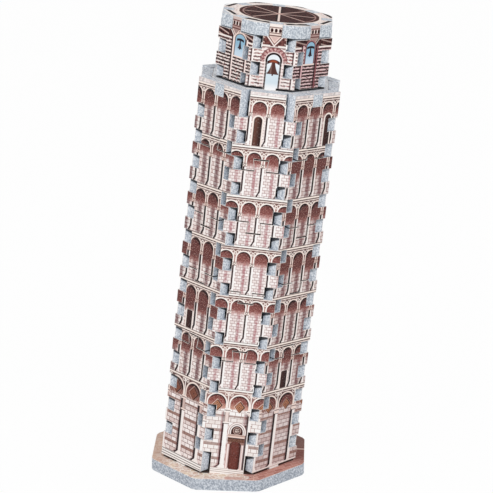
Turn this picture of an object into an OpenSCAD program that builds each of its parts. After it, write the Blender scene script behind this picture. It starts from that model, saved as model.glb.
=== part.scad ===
// Leaning eight-sided bell tower, a foam-board building puzzle on a base plate.
// Millimetres, +Z up, front face toward -Y, underside of the base at z = 0.

/* [Foam board] */
// Thickness of the foam board of the base, the gallery and the roof
foam = 6; // [5.8:0.1:6.4]
// Thickness of the foam board of the tower and belfry walls
wall_foam = 5; // [4.8:0.1:5.4]
// Play between a tab and the slot or notch that takes it, on each side
tab_play = 0.1; // [0.05:0.05:0.2]
// Play around the round knob of a jigsaw seam
knob_play = 0.15; // [0.05:0.05:0.25]

/* [Tower] */
// Width of one tower face between the outer corners
tower_side = 27; // [26.5:0.5:30]
// Height of the tower walls above the base, on the axis
tower_high = 191.75; // [186:0.25:200]
// Height of the lowest fingers, from the base to the first regular finger, on the axis
foot_high = 10.5; // [9.5:0.5:13]
// How far a finger of the even walls stands out past the corner
finger_out = 0.8; // [0.5:0.1:1]
// How far a finger of the odd walls stands out past the corner
odd_finger_out = 1.2; // [0.8:0.1:1.6]
// Gap between the end of a finger and the notch it lies in
finger_gap = 0.6; // [0.4:0.1:0.8]
// Lean of the tower toward +X, in degrees
lean = 4.9; // [3.5:0.1:5.5]
// Width of the tabs that lock the walls and plates together
tab_wide = 6; // [5:0.5:7]
// Width of the head of the jigsaw knobs in the walls
knob_wide = 7; // [6:0.5:7.5]
// How far a jigsaw knob reaches past its seam
knob_deep = 5.4; // [4.5:0.1:5.8]

/* [Belfry] */
// Step from the inner face of the tower walls in to the belfry walls
belfry_inset = 1.8; // [1.4:0.1:2.2]
// Height of the belfry walls between the gallery and the roof
belfry_high = 25; // [23:0.5:28]

/* [Base] */
// Width of base showing past the tower walls at each side
base_margin = 5.4; // [4.5:0.1:8]
// How far the tower stands behind the middle of the base
tower_back = 1.4; // [0:0.1:2]
// How much the corners of the base and the roof are rounded off
corner_cut = 0.5; // [0.3:0.1:0.8]

/* [Hidden] */
flat = 1 + sqrt(2);
tower_across = tower_side * flat;
finger_high = (tower_high - foot_high) / 29;
gallery_across = tower_across - 2 * wall_foam - 2 * tab_play;
belfry_across = tower_across - 2 * wall_foam - 2 * belfry_inset;
belfry_side = belfry_across / flat;
belfry_unit = belfry_high / 4;
base_across = tower_across + 2 * base_margin;
base_seam = 0.3 * tower_side;
tab_short = foam / 12;
low = 2.3 * foam;
knob_neck = 0.75 * knob_wide;
base_knob = 0.25 * knob_wide;
// Longer than anything on the model, for cutting
beyond = 2 * tower_high;
// Finger steps, counted from the top, where the four seams lie in the even walls and in the odd walls
seam_step = [[21.3, 15.6, 10, 6], [20.9, 14.8, 10.3, 5]];
// Which way the knob of each seam points, 1 is up
knob_way = [1, -1, -1, 1];
print_tone = [0.87, 0.78, 0.74];
foam_tone = [0.72, 0.76, 0.81];

// Lower edge of finger step i, counted down from the top of the walls
function step_z(i) = tower_high - i * finger_high;
// How far the fingers of a wall stand out, and how deep the notches for its neighbours are
function out_of(odd) = odd ? odd_finger_out : finger_out;
function notch_of(odd) = (wall_foam + out_of(!odd)) / sqrt(2) + finger_gap;
function seam_z(odd, k) = step_z(seam_step[odd ? 1 : 0][k - 1]);

// Tower frame: leaning, standing on the top of the base
module leaned() {
  translate([0, tower_back, foam])
    rotate([0, lean, 0])
      children();
}

// Everything at or above height z
module above(z) {
  translate([-beyond / 2, -beyond / 2, z])
    cube(beyond);
}

// Upright board, outer face at half the given width from the axis, turned to one of eight faces
module board(face, across) {
  rotate([0, 0, face * 45])
    translate([0, wall_foam - across / 2, 0])
      rotate([90, 0, 0])
        linear_extrude(height = wall_foam)
          children();
}

module octagon(across) {
  rotate([0, 0, 22.5])
    circle(r = across / 2 / cos(22.5), $fn = 8);
}

// Plate outline, an octagon with its corners rounded off
module plate(across) {
  intersection() {
    octagon(across);
    circle(r = across / 2 / cos(22.5) - corner_cut, $fn = 48);
  }
}

// Pair of notches at both side edges of a wall between two heights
module notch_pair(odd, side, bottom, top) {
  for (x = [-1, 1])
    translate([x * side / 2 - notch_of(odd), bottom])
      square([2 * notch_of(odd), top - bottom]);
}

// Outline of a whole tower wall, even faces and odd faces interlock
module wall_shape(odd) {
  difference() {
    translate([-tower_side / 2 - out_of(odd), -low])
      square([tower_side + 2 * out_of(odd), tower_high + low]);
    if (odd) {
      for (i = [2 : 2 : 28])
        notch_pair(odd, tower_side, step_z(i + 1), step_z(i));
      translate([-tab_wide / 2 - tab_play, tower_high - foam])
        square([tab_wide + 2 * tab_play, foam + 1]);
    } else {
      notch_pair(odd, tower_side, step_z(2), tower_high + 1);
      for (i = [3 : 2 : 27])
        notch_pair(odd, tower_side, step_z(i + 1), step_z(i));
      notch_pair(odd, tower_side, -low - 1, step_z(29));
    }
  }
}

// Corners of the flared knob on seam k, from left to right
function knob_points(odd, k, root, extra) = [
  [-knob_neck / 2 - extra, seam_z(odd, k) - knob_way[k - 1] * root],
  [-knob_wide / 2 - extra, seam_z(odd, k) + knob_way[k - 1] * (knob_deep + extra)],
  [knob_wide / 2 + extra, seam_z(odd, k) + knob_way[k - 1] * (knob_deep + extra)],
  [knob_neck / 2 + extra, seam_z(odd, k) - knob_way[k - 1] * root]
];

// Band of a wall between two seams, with the knobs that belong to it
module seam_band(odd, piece) {
  bottom = piece == 1 ? -low : seam_z(odd, piece - 1);
  top = piece == 5 ? tower_high + 1 : seam_z(odd, piece);
  down = piece > 1 && knob_way[piece - 2] == -1 ? knob_points(odd, piece - 1, 0, 0) : [];
  up = piece < 5 && knob_way[piece - 1] == 1 ? knob_points(odd, piece, 0, 0) : [];
  polygon(concat(
    [[-tower_side, bottom]], down, [[tower_side, bottom], [tower_side, top]],
    [for (i = [len(up) - 1 : -1 : 0]) up[i]], [[-tower_side, top]]));
}

// One of the five stacked pieces of a wall, counted from the base up
module wall_outline(odd, piece) {
  difference() {
    intersection() {
      wall_shape(odd);
      seam_band(odd, piece);
    }
    if (piece < 5 && knob_way[piece - 1] == -1)
      polygon(knob_points(odd, piece, tab_short, knob_play));
    if (piece > 1 && knob_way[piece - 2] == 1)
      polygon(knob_points(odd, piece - 1, tab_short, knob_play));
  }
}

// Wall tab that goes down through the base, as the tab or as its slot
module foot_tab(face, play) {
  leaned()
    rotate([0, 0, face * 45])
      translate([-tab_wide / 2 - play, -tower_across / 2 - play, -low])
        cube([tab_wide + 2 * play, wall_foam + 2 * play, low + foam / 2]);
}

module wall_piece(face, piece) {
  odd = face % 2 == 1;
  intersection() {
    leaned()
      board(face, tower_across)
        wall_outline(odd, piece);
    above(foam);
  }
  if (piece == 1)
    intersection() {
      foot_tab(face, 0);
      above(tab_short);
    }
}

// Belfry wall with its roof tab, even faces also have a tab down into the gallery
module belfry_outline(odd) {
  difference() {
    translate([-belfry_side / 2 - out_of(odd), 0])
      square([belfry_side + 2 * out_of(odd), belfry_high]);
    for (i = odd ? [0, 2] : [1, 3])
      notch_pair(odd, belfry_side, i * belfry_unit - (i == 0 ? 1 : 0),
                 (i + 1) * belfry_unit + (i == 3 ? 1 : 0));
  }
  translate([-tab_wide / 2, belfry_high - 1])
    square([tab_wide, foam + 1]);
  if (!odd)
    translate([-tab_wide / 2, tab_short - foam])
      square([tab_wide, foam + 1]);
}

module belfry_panel(face) {
  leaned()
    translate([0, 0, tower_high])
      board(face, belfry_across)
        belfry_outline(face % 2 == 1);
}

// Hole in a plate for a belfry tab, middle of one face, reaching out past the belfry by the given length
module tab_hole(face, past) {
  rotate([0, 0, face * 45])
    translate([-tab_wide / 2 - tab_play, -belfry_across / 2 - past])
      square([tab_wide + 2 * tab_play, wall_foam + tab_play + past]);
}

// Base outline left of the seam, one knob to each side of the tower walls
module base_left_outline(extra) {
  knob_y = tower_across / 2 + 0.57 * base_margin;
  translate([-beyond, -beyond / 2])
    square([beyond + base_seam, beyond]);
  translate([base_seam + 0.75 * base_knob, tower_back / 2 - knob_y])
    circle(r = base_knob + extra, $fn = 48);
  translate([base_seam + base_knob, 0])
    circle(r = 2.5 * base_knob + extra, $fn = 48);
}

module base_slots() {
  for (face = [0 : 7])
    foot_tab(face, tab_play);
}

module front_wall_1() {
  color(print_tone)
    wall_piece(0, 1);
}

module front_wall_2() {
  color(print_tone)
    wall_piece(0, 2);
}

module front_wall_3() {
  color(print_tone)
    wall_piece(0, 3);
}

module front_wall_4() {
  color(print_tone)
    wall_piece(0, 4);
}

module front_wall_5() {
  color(print_tone)
    wall_piece(0, 5);
}

module front_right_wall_1() {
  color(print_tone)
    wall_piece(1, 1);
}

module front_right_wall_2() {
  color(print_tone)
    wall_piece(1, 2);
}

module front_right_wall_3() {
  color(print_tone)
    wall_piece(1, 3);
}

module front_right_wall_4() {
  color(print_tone)
    wall_piece(1, 4);
}

module front_right_wall_5() {
  color(print_tone)
    wall_piece(1, 5);
}

module right_wall_1() {
  color(print_tone)
    wall_piece(2, 1);
}

module right_wall_2() {
  color(print_tone)
    wall_piece(2, 2);
}

module right_wall_3() {
  color(print_tone)
    wall_piece(2, 3);
}

module right_wall_4() {
  color(print_tone)
    wall_piece(2, 4);
}

module right_wall_5() {
  color(print_tone)
    wall_piece(2, 5);
}

module back_right_wall_1() {
  color(print_tone)
    wall_piece(3, 1);
}

module back_right_wall_2() {
  color(print_tone)
    wall_piece(3, 2);
}

module back_right_wall_3() {
  color(print_tone)
    wall_piece(3, 3);
}

module back_right_wall_4() {
  color(print_tone)
    wall_piece(3, 4);
}

module back_right_wall_5() {
  color(print_tone)
    wall_piece(3, 5);
}

module back_wall_1() {
  color(print_tone)
    wall_piece(4, 1);
}

module back_wall_2() {
  color(print_tone)
    wall_piece(4, 2);
}

module back_wall_3() {
  color(print_tone)
    wall_piece(4, 3);
}

module back_wall_4() {
  color(print_tone)
    wall_piece(4, 4);
}

module back_wall_5() {
  color(print_tone)
    wall_piece(4, 5);
}

module back_left_wall_1() {
  color(print_tone)
    wall_piece(5, 1);
}

module back_left_wall_2() {
  color(print_tone)
    wall_piece(5, 2);
}

module back_left_wall_3() {
  color(print_tone)
    wall_piece(5, 3);
}

module back_left_wall_4() {
  color(print_tone)
    wall_piece(5, 4);
}

module back_left_wall_5() {
  color(print_tone)
    wall_piece(5, 5);
}

module left_wall_1() {
  color(print_tone)
    wall_piece(6, 1);
}

module left_wall_2() {
  color(print_tone)
    wall_piece(6, 2);
}

module left_wall_3() {
  color(print_tone)
    wall_piece(6, 3);
}

module left_wall_4() {
  color(print_tone)
    wall_piece(6, 4);
}

module left_wall_5() {
  color(print_tone)
    wall_piece(6, 5);
}

module front_left_wall_1() {
  color(print_tone)
    wall_piece(7, 1);
}

module front_left_wall_2() {
  color(print_tone)
    wall_piece(7, 2);
}

module front_left_wall_3() {
  color(print_tone)
    wall_piece(7, 3);
}

module front_left_wall_4() {
  color(print_tone)
    wall_piece(7, 4);
}

module front_left_wall_5() {
  color(print_tone)
    wall_piece(7, 5);
}

module front_belfry_panel() {
  color(print_tone)
    belfry_panel(0);
}

module front_right_belfry_panel() {
  color(print_tone)
    belfry_panel(1);
}

module right_belfry_panel() {
  color(print_tone)
    belfry_panel(2);
}

module back_right_belfry_panel() {
  color(print_tone)
    belfry_panel(3);
}

module back_belfry_panel() {
  color(print_tone)
    belfry_panel(4);
}

module back_left_belfry_panel() {
  color(print_tone)
    belfry_panel(5);
}

module left_belfry_panel() {
  color(print_tone)
    belfry_panel(6);
}

module front_left_belfry_panel() {
  color(print_tone)
    belfry_panel(7);
}

module gallery_plate() {
  color(foam_tone)
    leaned()
      translate([0, 0, tower_high - foam])
        linear_extrude(height = foam)
          difference() {
            union() {
              octagon(gallery_across);
              for (face = [1 : 2 : 7])
                rotate([0, 0, face * 45])
                  translate([-tab_wide / 2, -tower_across / 2])
                    square([tab_wide, tower_across / 4]);
            }
            for (face = [0 : 2 : 6])
              tab_hole(face, tab_play);
          }
}

module roof_plate() {
  color(foam_tone)
    leaned()
      translate([0, 0, tower_high + belfry_high])
        linear_extrude(height = foam)
          difference() {
            plate(belfry_across);
            for (face = [0 : 7])
              tab_hole(face, foam);
          }
}

module base_left() {
  color(foam_tone)
    difference() {
      linear_extrude(height = foam)
        intersection() {
          plate(base_across);
          base_left_outline(0);
        }
      base_slots();
    }
}

module base_right() {
  color(foam_tone)
    difference() {
      linear_extrude(height = foam)
        difference() {
          plate(base_across);
          base_left_outline(knob_play);
        }
      base_slots();
    }
}

front_wall_1();
front_wall_2();
front_wall_3();
front_wall_4();
front_wall_5();
front_right_wall_1();
front_right_wall_2();
front_right_wall_3();
front_right_wall_4();
front_right_wall_5();
right_wall_1();
right_wall_2();
right_wall_3();
right_wall_4();
right_wall_5();
back_right_wall_1();
back_right_wall_2();
back_right_wall_3();
back_right_wall_4();
back_right_wall_5();
back_wall_1();
back_wall_2();
back_wall_3();
back_wall_4();
back_wall_5();
back_left_wall_1();
back_left_wall_2();
back_left_wall_3();
back_left_wall_4();
back_left_wall_5();
left_wall_1();
left_wall_2();
left_wall_3();
left_wall_4();
left_wall_5();
front_left_wall_1();
front_left_wall_2();
front_left_wall_3();
front_left_wall_4();
front_left_wall_5();
front_belfry_panel();
front_right_belfry_panel();
right_belfry_panel();
back_right_belfry_panel();
back_belfry_panel();
back_left_belfry_panel();
left_belfry_panel();
front_left_belfry_panel();
gallery_plate();
roof_plate();
base_left();
base_right();
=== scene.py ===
import math

import bmesh
import bpy
from mathutils import Matrix, Vector


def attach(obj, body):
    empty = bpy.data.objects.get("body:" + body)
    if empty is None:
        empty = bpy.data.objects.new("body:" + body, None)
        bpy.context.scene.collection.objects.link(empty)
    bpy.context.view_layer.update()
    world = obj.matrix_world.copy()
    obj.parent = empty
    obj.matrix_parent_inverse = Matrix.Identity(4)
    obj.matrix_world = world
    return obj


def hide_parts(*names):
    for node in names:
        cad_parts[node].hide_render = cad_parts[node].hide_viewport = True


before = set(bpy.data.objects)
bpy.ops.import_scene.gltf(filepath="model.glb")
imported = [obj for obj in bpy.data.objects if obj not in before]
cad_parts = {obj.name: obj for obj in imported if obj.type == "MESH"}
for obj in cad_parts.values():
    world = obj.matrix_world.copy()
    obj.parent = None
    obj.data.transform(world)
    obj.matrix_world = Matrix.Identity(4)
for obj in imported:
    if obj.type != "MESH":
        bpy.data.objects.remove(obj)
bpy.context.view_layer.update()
mm = 0.001

# how the board tower is laid out, in millimetres and degrees
tower = {
    "lean": 4.9,
    "back": 1.4,
    "foam": 6.0,
    "side": 27.0,
    "fingerStep": 6.25,
    "wallTop": 191.75,
    "belfryTop": 216.75,
    "belfryIn": 6.8,
    "faces": ["front", "front_right", "right", "back_right", "back", "back_left", "left", "front_left"],
}
tower["across"] = tower["side"] * (1 + math.sqrt(2))
footSpot = Matrix.Translation((0, tower["back"] * mm, tower["foam"] * mm))
leanFrame = footSpot @ Matrix.Rotation(math.radians(tower["lean"]), 4, "Y")
unlean = leanFrame.inverted()


def inkOf(colour):
    # screen colour, 0 to 255, as the linear colour of a socket
    def straight(c):
        c = c / 255
        return c / 12.92 if c <= 0.04045 else ((c + 0.055) / 1.055) ** 2.4
    return tuple(straight(c) for c in colour) + (1.0,)


# small kit for writing a print as shader nodes
press = {"tree": None}


def isSocket(value):
    return isinstance(value, bpy.types.NodeSocket)


def addNode(kind, **settings):
    made = press["tree"].nodes.new(kind)
    for name, value in settings.items():
        setattr(made, name, value)
    return made


def feed(socket, value):
    if isSocket(value):
        press["tree"].links.new(value, socket)
    elif isinstance(value, tuple):
        socket.default_value = inkOf(value)
    else:
        socket.default_value = value


def calc(kind, a, b=None, c=None):
    made = addNode("ShaderNodeMath", operation=kind)
    for socket, value in zip(made.inputs, (a, b, c)):
        if value is not None:
            feed(socket, value)
    return made.outputs[0]


def plus(a, b):
    return calc("ADD", a, b)


def minus(a, b):
    return calc("SUBTRACT", a, b)


def times(a, b):
    return calc("MULTIPLY", a, b)


def least(*values):
    result = values[0]
    for value in values[1:]:
        result = calc("MINIMUM", result, value)
    return result


def most(*values):
    result = values[0]
    for value in values[1:]:
        result = calc("MAXIMUM", result, value)
    return result


def size(a):
    return calc("ABSOLUTE", a)


def wrap(a, period):
    return calc("FLOORED_MODULO", a, period)


def hypot(a, b):
    return calc("SQRT", plus(times(a, a), times(b, b)))


def flip(mask):
    return minus(1.0, mask)


def fade(value, low, high):
    made = addNode("ShaderNodeMapRange", interpolation_type="SMOOTHSTEP")
    feed(made.inputs["Value"], value)
    made.inputs["From Min"].default_value = low
    made.inputs["From Max"].default_value = high
    return made.outputs["Result"]


def near(value, middle, half, soft=0.12):
    return fade(size(minus(value, middle)), half + soft, half - soft)


def between(value, low, high, soft=0.12):
    return near(value, (low + high) / 2, (high - low) / 2, soft)


def paint(under, over, mask):
    made = addNode("ShaderNodeMix", data_type="RGBA")
    feed(made.inputs["Factor"], mask)
    feed(made.inputs["A"], under)
    feed(made.inputs["B"], over)
    return made.outputs["Result"]


def shade(under, over, mask, amount):
    return paint(under, over, times(mask, amount))


def pair(x, y, z=0.0):
    made = addNode("ShaderNodeCombineXYZ")
    for socket, value in zip(made.inputs, (x, y, z)):
        feed(socket, value)
    return made.outputs[0]


def grainOf(vector, scale, detail=2.0, rough=0.5):
    made = addNode("ShaderNodeTexNoise")
    feed(made.inputs["Vector"], vector)
    made.inputs["Scale"].default_value = scale
    made.inputs["Detail"].default_value = detail
    made.inputs["Roughness"].default_value = rough
    return made.outputs["Fac"]


def courses(vector, wide, high, joint, light, dark, mortar):
    made = addNode("ShaderNodeTexBrick", offset=0.5)
    feed(made.inputs["Vector"], vector)
    feed(made.inputs["Color1"], light)
    feed(made.inputs["Color2"], dark)
    feed(made.inputs["Mortar"], mortar)
    made.inputs["Scale"].default_value = 1.0
    made.inputs["Mortar Size"].default_value = joint
    made.inputs["Mortar Smooth"].default_value = 0.6
    made.inputs["Bias"].default_value = 0.0
    made.inputs["Brick Width"].default_value = wide
    made.inputs["Row Height"].default_value = high
    return made.outputs["Color"]


def mapOf(name):
    made = addNode("ShaderNodeUVMap", uv_map=name)
    parts = addNode("ShaderNodeSeparateXYZ")
    feed(parts.inputs[0], made.outputs[0])
    return times(parts.outputs[0], 100.0), times(parts.outputs[1], 100.0)


def newFinish(name):
    finish = bpy.data.materials.new(name)
    finish.use_nodes = True
    press["tree"] = finish.node_tree
    press["tree"].nodes.clear()
    return finish


def closeFinish(colour, rough, gloss, height=None, bumpStrength=0.2, bumpDistance=0.0001):
    shader = addNode("ShaderNodeBsdfPrincipled")
    feed(shader.inputs["Base Color"], colour)
    feed(shader.inputs["Roughness"], rough)
    shader.inputs["Specular IOR Level"].default_value = gloss
    if height is not None:
        bump = addNode("ShaderNodeBump")
        bump.inputs["Strength"].default_value = bumpStrength
        bump.inputs["Distance"].default_value = bumpDistance
        feed(bump.inputs["Height"], height)
        feed(shader.inputs["Normal"], bump.outputs[0])
    out = addNode("ShaderNodeOutputMaterial")
    feed(out.inputs["Surface"], shader.outputs[0])


def eightSided(x, y):
    # distance from the middle, measured square to the nearest side of an octagon
    turn = calc("ARCTAN2", x, y)
    sector = minus(wrap(plus(turn, math.pi / 8), math.pi / 4), math.pi / 8)
    return times(hypot(x, y), calc("COSINE", sector)), turn


foamLook = {
    "foamWall": ((239, 243, 248), (179, 187, 198), (255, 255, 255)),
    "foamPlate": ((216, 221, 228), (152, 160, 172), (248, 250, 252)),
    "foamGallery": ((250, 252, 254), (198, 204, 212), (255, 255, 255)),
    "foamRoof": ((230, 235, 240), (168, 177, 188), (253, 254, 255)),
}

# shade at the top of a bare finger end, in millimetres; finger tops keep clear of it
fingerShade = {
    "ink": (34, 33, 37), "amount": 0.92, "slope": 0.46, "soft": (0.85, 0.2), "belfryThin": 0.5,
    "ends": (13.6, 13.8), "belfryShort": 2.6, "highest": (181.0, 180.0), "clear": 3.0,
}


def shadeEnds(colour):
    # the board above throws more shade the deeper an end lies in its notch
    look, step = fingerShade, tower["fingerStep"]
    u, v = mapOf("print")
    deep, face = mapOf("arcade")
    belfry = fade(v, tower["wallTop"] + 0.45, tower["wallTop"] + 0.85)
    highest = plus(tower["wallTop"], times(belfry, step))
    below = wrap(minus(highest, plus(v, times(wrap(face, 2.0), step))), 2 * step)
    below = plus(below, times(belfry, look["belfryThin"]))
    shadow = fade(minus(below, times(deep, look["slope"])), *look["soft"])
    shadow = times(shadow, flip(times(near(face, 2.0, 0.4), 0.6)))
    ends = fade(plus(size(u), times(belfry, look["belfryShort"])), *look["ends"])
    there = most(belfry, fade(v, *look["highest"]))
    return shade(colour, look["ink"], least(shadow, ends, there), look["amount"])


def makeFoam(name):
    finish = newFinish(name)
    light, dark, speck = foamLook[name]
    place = addNode("ShaderNodeTexCoord").outputs["Object"]
    fine = grainOf(place, 1150.0, 3.0, 0.7)
    broad = grainOf(place, 180.0, 2.0)
    colour = paint(dark, light, fade(fine, 0.38, 0.62))
    colour = shade(colour, speck, fade(fine, 0.60, 0.72), 0.7)
    colour = shade(colour, dark, fade(broad, 0.45, 0.75), 0.25)
    if name == "foamGallery":
        # painted shade: a dark ring on the gallery top where the belfry walls stand, in place of the shade
        # in that joint
        x, y = mapOf("print")
        reach = eightSided(x, y)[0]
        colour = shade(colour, (70, 68, 72), between(reach, 20.9, 25.6, 0.15), 0.9)
    if name == "foamWall":
        colour = shadeEnds(colour)
    closeFinish(colour, 0.85, 0.15, fine, 0.35, 0.0002)
    return finish


def makeCardEdge():
    finish = newFinish("cardEdge")
    place = addNode("ShaderNodeTexCoord").outputs["Object"]
    fibre = grainOf(place, 900.0, 2.0)
    colour = paint((244, 236, 230), (222, 205, 198), fade(fibre, 0.35, 0.7))
    closeFinish(colour, 0.7, 0.15, fibre, 0.15, 0.0001)
    return finish


def makeSeamShade():
    # cut faces that lie inside a seam, bare foam again where they run out into a finger
    finish = newFinish("seamShade")
    place = addNode("ShaderNodeTexCoord").outputs["Object"]
    u = mapOf("print")[0]
    fine = grainOf(place, 1150.0, 3.0, 0.7)
    colour = paint((40, 33, 36), (66, 58, 62), fade(fine, 0.36, 0.64))
    bare = paint((160, 168, 178), (222, 228, 235), fade(fine, 0.38, 0.62))
    colour = paint(colour, bare, fade(size(u), 8.7, 9.0))
    closeFinish(colour, 0.9, 0.05, fine, 0.3, 0.0002)
    return finish


# print of the walls, in millimetres, heights along the lean above the base
wallLook = {
    "groundTop": 44.0, "pitch": 24.3, "bay": 8.4, "radius": 3.3, "spring": 18.55,
    "groundBay": 11.0, "groundRadius": 4.45, "groundSpring": 37.0,
    "hangLeft": (2.6, 5.0, 4.4, 0.2, -0.8, 1.2),
    "hangRight": (1.8, -0.2, 3.8, 2.4, 4.6, 0.0),
}


def stoneOf(u, v, tone):
    spot = pair(u, v)
    pale = courses(spot, 2.1, 1.4, 0.17, (255, 251, 249), (236, 221, 218), (178, 146, 144))
    dusk = courses(spot, 2.6, 1.85, 0.2, (255, 248, 244), (236, 216, 210), (160, 122, 118))
    return paint(pale, dusk, tone)


def speckle(colour, u, v, strength):
    blot = grainOf(pair(u, v), 1.3, 3.0, 0.65)
    colour = shade(colour, (120, 78, 72), fade(blot, 0.5, 0.85), strength)
    return shade(colour, (255, 248, 244), fade(blot, 0.46, 0.2), strength)


def perStorey(storey, values):
    total = 0.0
    for number, value in enumerate(values):
        total = plus(total, times(near(storey, number, 0.4), value))
    return total


def loggias(u, v, a, tone, left, right):
    bay, radius = wallLook["bay"], wallLook["radius"]
    up = minus(v, wallLook["groundTop"])
    w = wrap(up, wallLook["pitch"])
    storey = calc("FLOOR", calc("DIVIDE", up, wallLook["pitch"]))
    across = minus(wrap(a, bay), bay / 2)
    c = minus(wrap(plus(a, bay / 2), bay), bay / 2)
    gap = size(c)
    rise = times(minus(minus(w, wallLook["spring"]), times(left, 0.4)), minus(1.0, times(left, 0.06)))
    ring = hypot(across, most(rise, 0.0))
    ragged = times(minus(grainOf(pair(a, v), 0.8, 3.0, 0.6), 0.5), 3.0)
    sideways = times(across, minus(1.0, times(right, 2.0)))
    colour = stoneOf(u, w, tone)

    # shade stripes hanging from the arches, broken up by the courses
    broken = fade(grainOf(pair(times(a, 0.4), times(v, 1.3)), 1.0, 2.0), 0.38, 0.6)
    lane = minus(across, minus(0.75, times(tone, 0.3)))
    lane = calc("DIVIDE", size(lane), plus(0.66, times(tone, 0.5)))
    stripe = least(fade(lane, 1.7, 0.45), fade(w, 0.3, 1.2))
    stripeInk = paint((176, 114, 120), (104, 56, 60), tone)
    amount = plus(plus(0.36, times(tone, 0.3)), times(broken, minus(0.54, times(tone, 0.3))))
    colour = shade(colour, stripeInk, stripe, amount)
    side = least(near(plus(across, times(ragged, 0.2)), -2.6, 0.4, 0.5), tone)
    colour = shade(colour, (140, 92, 90), side, times(broken, 0.3))
    colour = shade(colour, (124, 72, 74), fade(ragged, 1.4, -1.4), times(right, 0.46))

    # arch fill, dark under the arch and fading down into the stone
    hang = times(left, perStorey(storey, wallLook["hangLeft"]))
    hang = plus(hang, times(right, perStorey(storey, wallLook["hangRight"])))
    level = plus(rise, times(ragged, 0.5))
    fillInk = paint((206, 154, 148), (132, 76, 72), fade(level, -4.0, -0.8))
    fillInk = paint(fillInk, (86, 40, 40), fade(plus(level, times(sideways, 0.25)), 0.0, 3.2))
    duskInk = paint((152, 96, 90), (98, 52, 50), fade(plus(level, hang), -3.8, 0.0))
    duskInk = paint(duskInk, (60, 26, 28), fade(plus(level, times(sideways, 0.3)), 0.0, 2.8))
    fillInk = paint(fillInk, duskInk, tone)
    mottle = grainOf(pair(a, v), 1.8, 2.0, 0.6)
    fillInk = shade(fillInk, (222, 170, 156), fade(mottle, 0.52, 0.66), 0.44)
    fillInk = shade(fillInk, (64, 26, 26), fade(mottle, 0.46, 0.34), 0.5)
    reach = fade(plus(plus(level, hang), times(ragged, 0.7)), -5.0, -1.8)
    fill = least(fade(ring, radius + 0.1, radius - 0.1), reach)
    colour = paint(colour, fillInk, fill)
    rim = least(near(ring, radius - 0.2, 0.34), fade(plus(rise, times(sideways, 0.45)), 0.3, 1.6))
    colour = shade(colour, (38, 14, 16), rim, 0.95)
    corner = fade(plus(rise, times(sideways, 0.6)), 0.8, 2.4)
    deep = least(near(ring, radius - 0.5, 0.6, 0.25), corner, tone)
    colour = shade(colour, (28, 10, 12), deep, 0.9)

    # spandrels with small knots between the arches
    above = least(fade(ring, radius + 0.55, radius + 0.7), fade(rise, 0.1, 0.5))
    colour = shade(colour, paint((132, 90, 84), (78, 44, 42), tone), above, 0.95)
    knot = near(hypot(gap, minus(rise, 2.3)), 0.6, 0.26, 0.12)
    curl = near(hypot(minus(gap, 1.7), minus(rise, 3.75)), 0.5, 0.24, 0.14)
    spray = near(minus(times(gap, 1.1), minus(rise, 2.8)), 0.0, 0.26, 0.14)
    colour = shade(colour, (254, 242, 234), least(most(knot, curl, spray), above), 0.9)
    stem = least(fade(gap, 0.5, 0.36), between(rise, -2.3, 1.3))
    colour = shade(colour, paint((178, 130, 122), (104, 64, 58), tone), stem, 0.9)
    band = least(near(ring, radius + 0.3, 0.31, 0.1), fade(rise, -2.5, -2.2))
    colour = paint(colour, paint((255, 246, 240), (250, 230, 220), tone), band)

    # columns, their shadow lines and capitals
    tall = least(fade(w, 0.5, 0.8), fade(rise, -3.4, -3.7))
    shaft = least(near(c, 0.45, 0.45, 0.1), tall)
    colour = paint(colour, paint((255, 252, 250), (255, 246, 241), tone), shaft)
    bend = times(fade(w, 3.6, 0.7), 1.05)
    off = plus(plus(c, bend), 0.42)
    halo = least(near(off, -0.72, 0.26), tall)
    colour = shade(colour, (255, 246, 242), halo, 0.6)
    line = least(fade(calc("DIVIDE", size(off), plus(0.37, times(tone, 0.2))), 1.25, 0.8), tall)
    colour = shade(colour, paint((42, 14, 18), (22, 7, 10), tone), line, 0.98)
    capital = least(fade(gap, 1.15, 0.95), between(rise, -3.75, -2.2))
    colour = paint(colour, paint((255, 244, 236), (246, 220, 208), tone), capital)
    eye = near(hypot(c, plus(rise, 2.95)), 0.5, 0.18, 0.12)
    colour = shade(colour, (92, 50, 46), eye, 0.8)
    under = least(fade(gap, 1.3, 1.05), most(near(rise, -3.85, 0.16, 0.1), near(rise, -2.2, 0.14, 0.1)))
    colour = shade(colour, (98, 56, 52), under, 0.8)

    # string course between the storeys
    drop = minus(wallLook["pitch"], w)
    colour = shade(colour, (70, 38, 36), between(drop, 0.4, 0.86), 0.92)
    colour = shade(colour, (252, 236, 228), between(drop, 0.92, 1.4), 0.9)
    colour = shade(colour, (92, 54, 50), between(drop, 1.45, 1.85), 0.85)
    colour = shade(colour, (84, 50, 46), between(w, 0.4, 0.78), plus(0.7, times(tone, 0.25)))
    edge = most(fade(w, 0.44, 0.32), fade(drop, 0.44, 0.32))
    colour = paint(colour, paint((255, 252, 248), (254, 240, 230), tone), edge)
    return colour, storey, w


def doorway(colour, u, w, middle, half, high, arched, glow, mask):
    lift = most(minus(w, high), 0.0)
    ring = hypot(minus(u, middle), times(lift, 1.0 if arched else 6.0))
    surround = least(fade(ring, half + 0.85, half + 0.65), fade(w, 0.5, 0.7), mask)
    colour = paint(colour, (252, 238, 230), surround)
    hole = least(fade(ring, half + 0.1, half - 0.1), fade(w, 0.6, 0.8), mask)
    inner = paint(glow, (40, 20, 20), fade(minus(u, middle), -0.8 * half, half))
    inner = paint(inner, (34, 16, 16), near(ring, half, 0.25, 0.15))
    return paint(colour, inner, hole)


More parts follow.
